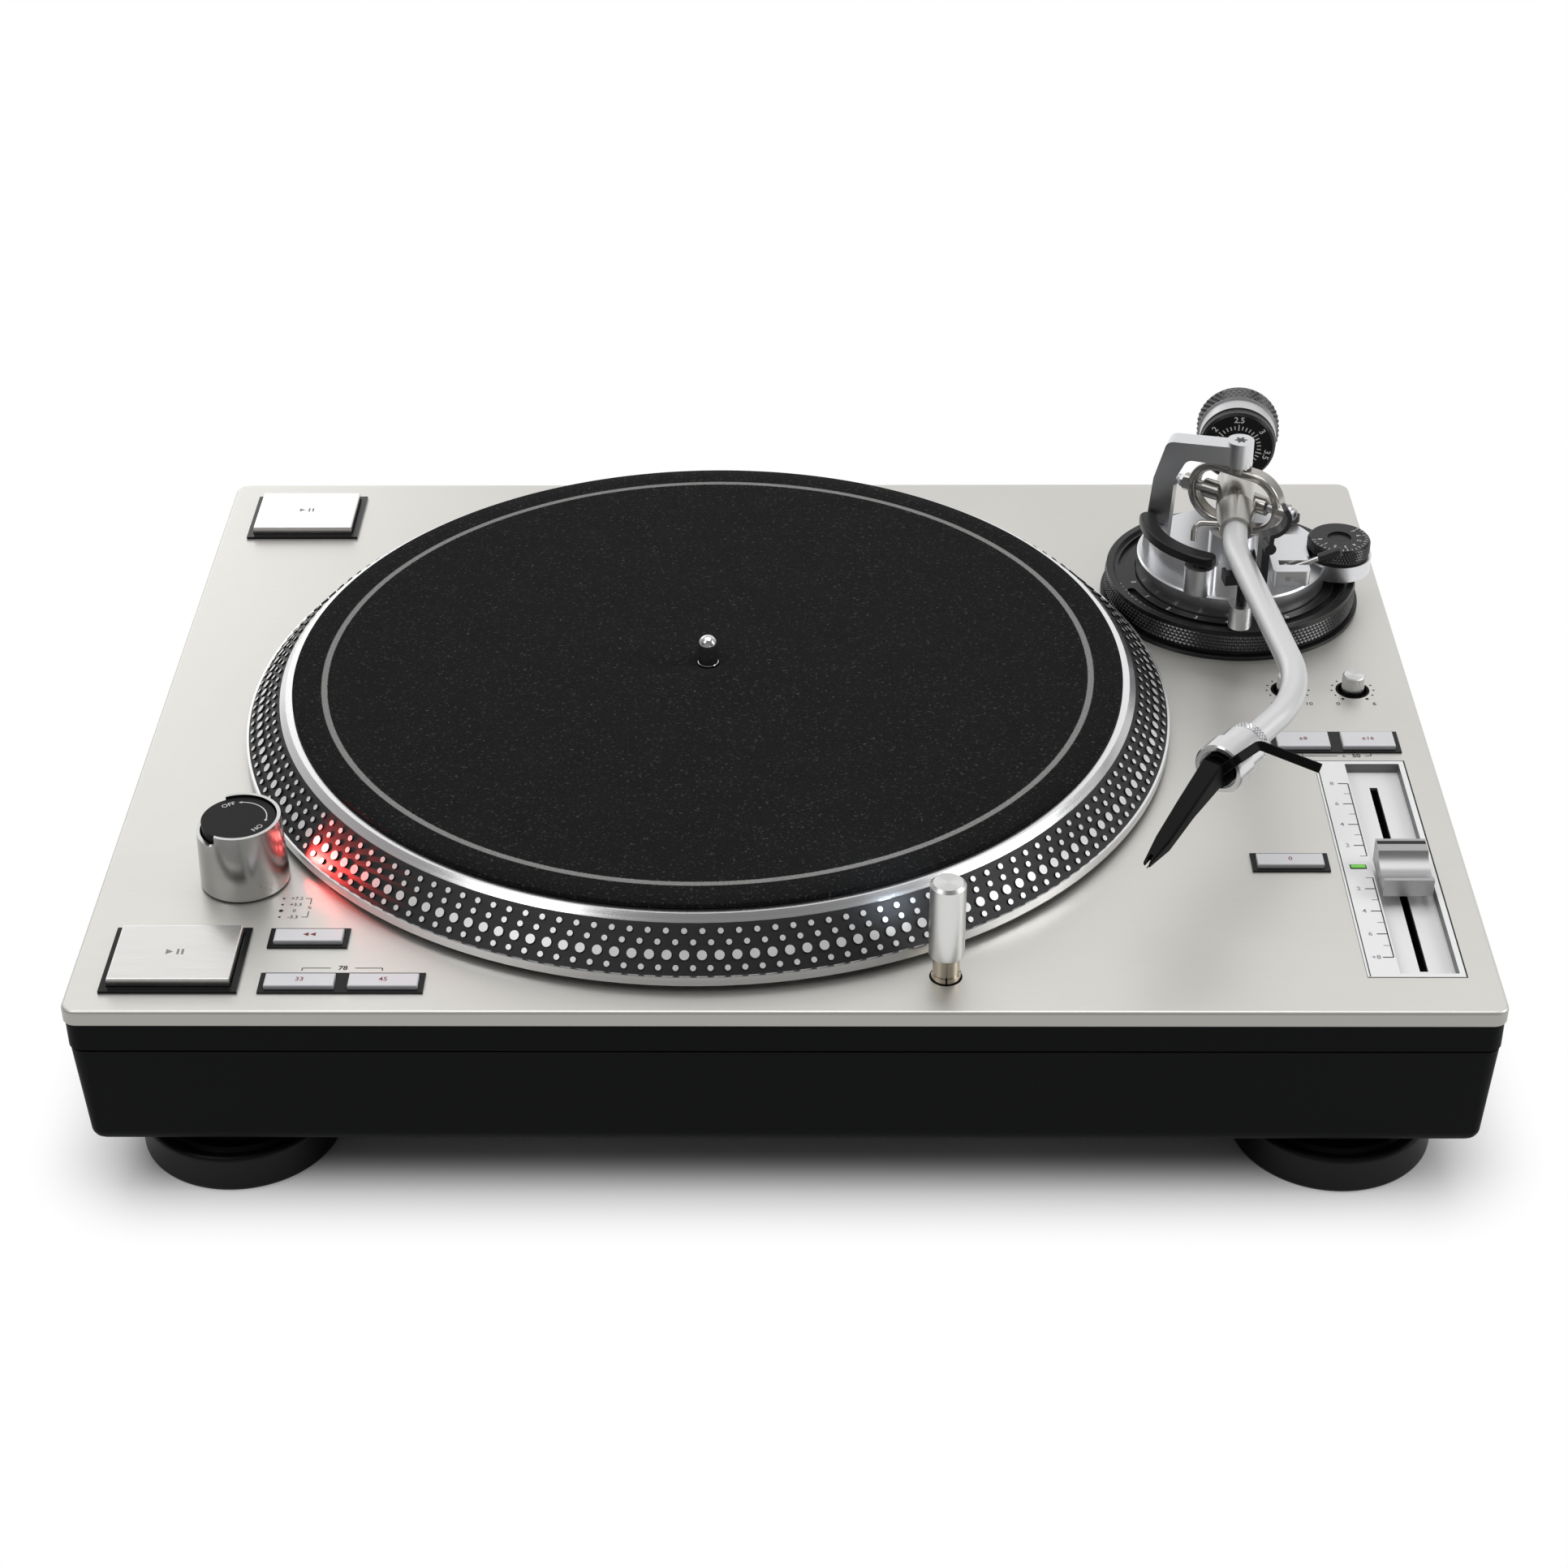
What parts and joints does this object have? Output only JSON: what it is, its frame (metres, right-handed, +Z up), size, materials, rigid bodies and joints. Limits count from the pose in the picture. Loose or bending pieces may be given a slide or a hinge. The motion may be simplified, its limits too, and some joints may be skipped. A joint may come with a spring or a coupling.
{
  "type": "turntable record player",
  "caption": "Direct-drive turntable record player with a heavy dotted-rim platter, felt slip mat, S-shaped tone arm on a gimbal, pitch fader, lamp and levelling feet.",
  "frame": {"origin": "on the floor, under the middle of the deck", "axes": "+X to the right, +Y to the back, +Z up, as seen by the user at the front"},
  "size_m": [0.458, 0.354, 0.146],
  "materials": {
    "deck_silver": "satin",
    "case_black": "satin",
    "foot_rubber": "matte",
    "fastener_steel": "satin",
    "platter_metal": "polished rim, black band",
    "mat_felt": "felt",
    "cap_metal": "brushed",
    "bezel_gloss": "gloss",
    "button_grey": "satin",
    "tray_silver": "satin",
    "core_black": "satin",
    "window_red": "gloss",
    "lamp_green": "gloss",
    "motor_steel": "satin",
    "magnet_grey": "matte",
    "coil_copper": "enamelled",
    "bearing_brass": "satin",
    "board_green": "satin",
    "ring_black": "satin, knurled",
    "cast_bright": "polished",
    "arm_nickel": "polished",
    "arm_satin": "satin",
    "weight_black": "satin",
    "cartridge_black": "satin",
    "terminal_metal": "polished"
  },
  "bodies": {
    "case": {"top_plate": "deck_silver", "middle_frame": "case_black", "base_tub": "case_black", "base_screws": "fastener_steel", "motor_plate": "motor_steel", "stator_coils": "coil_copper", "bearing_bush": "bearing_brass", "main_board": "board_green", "power_supply": "motor_steel", "strobe_core": "core_black", "strobe_window": "window_red", "button_bezels": "bezel_gloss", "fader_tray": "tray_silver", "fader_potentiometer": "core_black", "pitch_zero_led": "lamp_green", "knob_wells": "case_black", "lamp_socket": "case_black", "arm_mount": "ring_black", "rear_panel": "case_black", "signal_terminals": "terminal_metal", "mains_inlet": "case_black"},
    "platter": {"platter": "platter_metal", "magnet_ring": "magnet_grey", "spindle": "motor_steel"},
    "slipmat": {"slipmat": "mat_felt"},
    "power_sleeve": {"power_sleeve": "cap_metal"},
    "start_button_front": {"start_button_front": "cap_metal"},
    "start_button_rear": {"start_button_rear": "cap_metal"},
    "reverse_button": {"reverse_button": "button_grey"},
    "speed_33_button": {"speed_33_button": "button_grey"},
    "speed_45_button": {"speed_45_button": "button_grey"},
    "range_8_button": {"range_8_button": "button_grey"},
    "range_16_button": {"range_16_button": "button_grey"},
    "reset_button": {"reset_button": "button_grey"},
    "fader_knob": {"fader_knob": "cap_metal"},
    "torque_knob": {"torque_knob": "cap_metal"},
    "brake_knob": {"brake_knob": "cap_metal"},
    "lamp_body": {"lamp_body": "cap_metal"},
    "height_ring": {"height_ring": "ring_black"},
    "arm_base": {"arm_base": "cast_bright", "arm_yoke": "cast_bright", "arm_cradle": "ring_black"},
    "anti_skate_dial": {"anti_skate_dial": "ring_black"},
    "cue_lever": {"cue_lever": "arm_nickel"},
    "cue_platform": {"cue_platform": "ring_black"},
    "arm_latch": {"arm_latch": "ring_black"},
    "height_lock_lever": {"height_lock_lever": "ring_black"},
    "gimbal": {"gimbal_ring": "arm_nickel", "gimbal_pivots": "fastener_steel"},
    "arm": {"arm_hub": "arm_nickel", "arm_tube": "arm_satin", "cartridge": "cartridge_black", "stylus": "cartridge_black"},
    "headshell_collar": {"headshell_collar": "arm_satin"},
    "counterweight": {"counterweight": "weight_black"},
    "force_dial": {"force_dial": "weight_black"},
    "foot_front_left": {"foot_front_left": "foot_rubber"},
    "foot_front_right": {"foot_front_right": "foot_rubber"},
    "foot_rear_left": {"foot_rear_left": "foot_rubber"},
    "foot_rear_right": {"foot_rear_right": "foot_rubber"}
  },
  "joints": [
    {"name": "platter_spin", "type": "hinge", "parent": "case", "child": "platter", "pos_m": [-0.0285, 0, 0.0988], "axis": [0, 0, 1], "continuous": true},
    {"name": "slipmat_slip", "type": "hinge", "parent": "platter", "child": "slipmat", "pos_m": [-0.0285, 0, 0.1005], "axis": [0, 0, 1], "continuous": true},
    {"name": "power_turn", "type": "hinge", "parent": "case", "child": "power_sleeve", "pos_m": [-0.181, -0.104, 0.091], "axis": [0, 0, 1], "range_deg": [0, 45]},
    {"name": "start_button_front_press", "type": "slide", "parent": "case", "child": "start_button_front", "axis": [0, 0, -1], "range_m": [0, 0.0016], "stiffness_N_per_m": 500, "springref_m": -0.001},
    {"name": "start_button_rear_press", "type": "slide", "parent": "case", "child": "start_button_rear", "axis": [0, 0, -1], "range_m": [0, 0.0016], "stiffness_N_per_m": 500, "springref_m": -0.001},
    {"name": "reverse_button_press", "type": "slide", "parent": "case", "child": "reverse_button", "axis": [0, 0, -1], "range_m": [0, 0.0012], "stiffness_N_per_m": 400, "springref_m": -0.001},
    {"name": "speed_33_button_press", "type": "slide", "parent": "case", "child": "speed_33_button", "axis": [0, 0, -1], "range_m": [0, 0.0012], "stiffness_N_per_m": 400, "springref_m": -0.001},
    {"name": "speed_45_button_press", "type": "slide", "parent": "case", "child": "speed_45_button", "axis": [0, 0, -1], "range_m": [0, 0.0012], "stiffness_N_per_m": 400, "springref_m": -0.001},
    {"name": "range_8_button_press", "type": "slide", "parent": "case", "child": "range_8_button", "axis": [0, 0, -1], "range_m": [0, 0.0012], "stiffness_N_per_m": 400, "springref_m": -0.001},
    {"name": "range_16_button_press", "type": "slide", "parent": "case", "child": "range_16_button", "axis": [0, 0, -1], "range_m": [0, 0.0012], "stiffness_N_per_m": 400, "springref_m": -0.001},
    {"name": "reset_button_press", "type": "slide", "parent": "case", "child": "reset_button", "axis": [0, 0, -1], "range_m": [0, 0.0012], "stiffness_N_per_m": 400, "springref_m": -0.001},
    {"name": "fader_slide", "type": "slide", "parent": "case", "child": "fader_knob", "axis": [0, 1, 0], "range_m": [-0.05, 0.05]},
    {"name": "torque_turn", "type": "hinge", "parent": "case", "child": "torque_knob", "pos_m": [0.1836, 0.0155, 0.079], "axis": [0, 0, 1], "range_deg": [-150, 150]},
    {"name": "brake_turn", "type": "hinge", "parent": "case", "child": "brake_knob", "pos_m": [0.2074, 0.0155, 0.079], "axis": [0, 0, 1], "range_deg": [-150, 150]},
    {"name": "lamp_pull", "type": "slide", "parent": "case", "child": "lamp_body", "axis": [0, 0, 1], "range_m": [0, 0.02]},
    {"name": "height_turn", "type": "hinge", "parent": "case", "child": "height_ring", "pos_m": [0.1695, 0.085, 0.085], "axis": [0, 0, 1], "range_deg": [0, 300]},
    {"name": "arm_height", "type": "slide", "parent": "case", "child": "arm_base", "axis": [0, 0, 1], "range_m": [0, 0.006]},
    {"name": "anti_skate_turn", "type": "hinge", "parent": "arm_base", "child": "anti_skate_dial", "pos_m": [0.21, 0.084, 0.102], "axis": [0, 0, 1], "range_deg": [0, 270]},
    {"name": "cue_lever_lift", "type": "hinge", "parent": "arm_base", "child": "cue_lever", "pos_m": [0.1875, 0.0662, 0.1008], "axis": [0, -1, 0], "range_deg": [0, 35]},
    {"name": "cue_platform_lift", "type": "slide", "parent": "arm_base", "child": "cue_platform", "axis": [0, 0, 1], "range_m": [0, 0.0038]},
    {"name": "arm_latch_swing", "type": "hinge", "parent": "arm_base", "child": "arm_latch", "pos_m": [0.17437, 0.03501, 0.1296], "axis": [-0.1219, 0.9925, 0], "range_deg": [-130, 0]},
    {"name": "height_lock_turn", "type": "hinge", "parent": "arm_base", "child": "height_lock_lever", "pos_m": [0.1895, 0.1025, 0.099], "axis": [0, 0, 1], "range_deg": [0, 40]},
    {"name": "arm_yaw", "type": "hinge", "parent": "arm_base", "child": "gimbal", "pos_m": [0.1695, 0.085, 0.122], "axis": [0, 0, 1], "range_deg": [-42, 0]},
    {"name": "arm_pitch", "type": "hinge", "parent": "gimbal", "child": "arm", "pos_m": [0.1695, 0.085, 0.122], "axis": [-0.809, 0.5878, 0], "range_deg": [-1.7, 12]},
    {"name": "collar_turn", "type": "hinge", "parent": "arm", "child": "headshell_collar", "pos_m": [0.14184, -0.1033, 0.122], "axis": [-0.5878, -0.809, 0], "range_deg": [0, 30]},
    {"name": "counterweight_turn", "type": "hinge", "parent": "arm", "child": "counterweight", "pos_m": [0.1695, 0.085, 0.122], "axis": [-0.1253, -0.9921, 0], "continuous": true},
    {"name": "force_dial_turn", "type": "hinge", "parent": "counterweight", "child": "force_dial", "pos_m": [0.1695, 0.085, 0.122], "axis": [-0.1253, -0.9921, 0], "continuous": true},
    {"name": "foot_front_left_screw", "type": "slide", "parent": "case", "child": "foot_front_left", "axis": [0, 0, -1], "range_m": [0, 0.008]},
    {"name": "foot_front_right_screw", "type": "slide", "parent": "case", "child": "foot_front_right", "axis": [0, 0, -1], "range_m": [0, 0.008]},
    {"name": "foot_rear_left_screw", "type": "slide", "parent": "case", "child": "foot_rear_left", "axis": [0, 0, -1], "range_m": [0, 0.008]},
    {"name": "foot_rear_right_screw", "type": "slide", "parent": "case", "child": "foot_rear_right", "axis": [0, 0, -1], "range_m": [0, 0.008]}
  ],
  "couplings": [
    {"joint": "arm_height", "follows": "height_turn", "m_per_rad": 0.001145},
    {"joint": "cue_platform_lift", "follows": "cue_lever_lift", "m_per_rad": 0.0062}
  ]
}
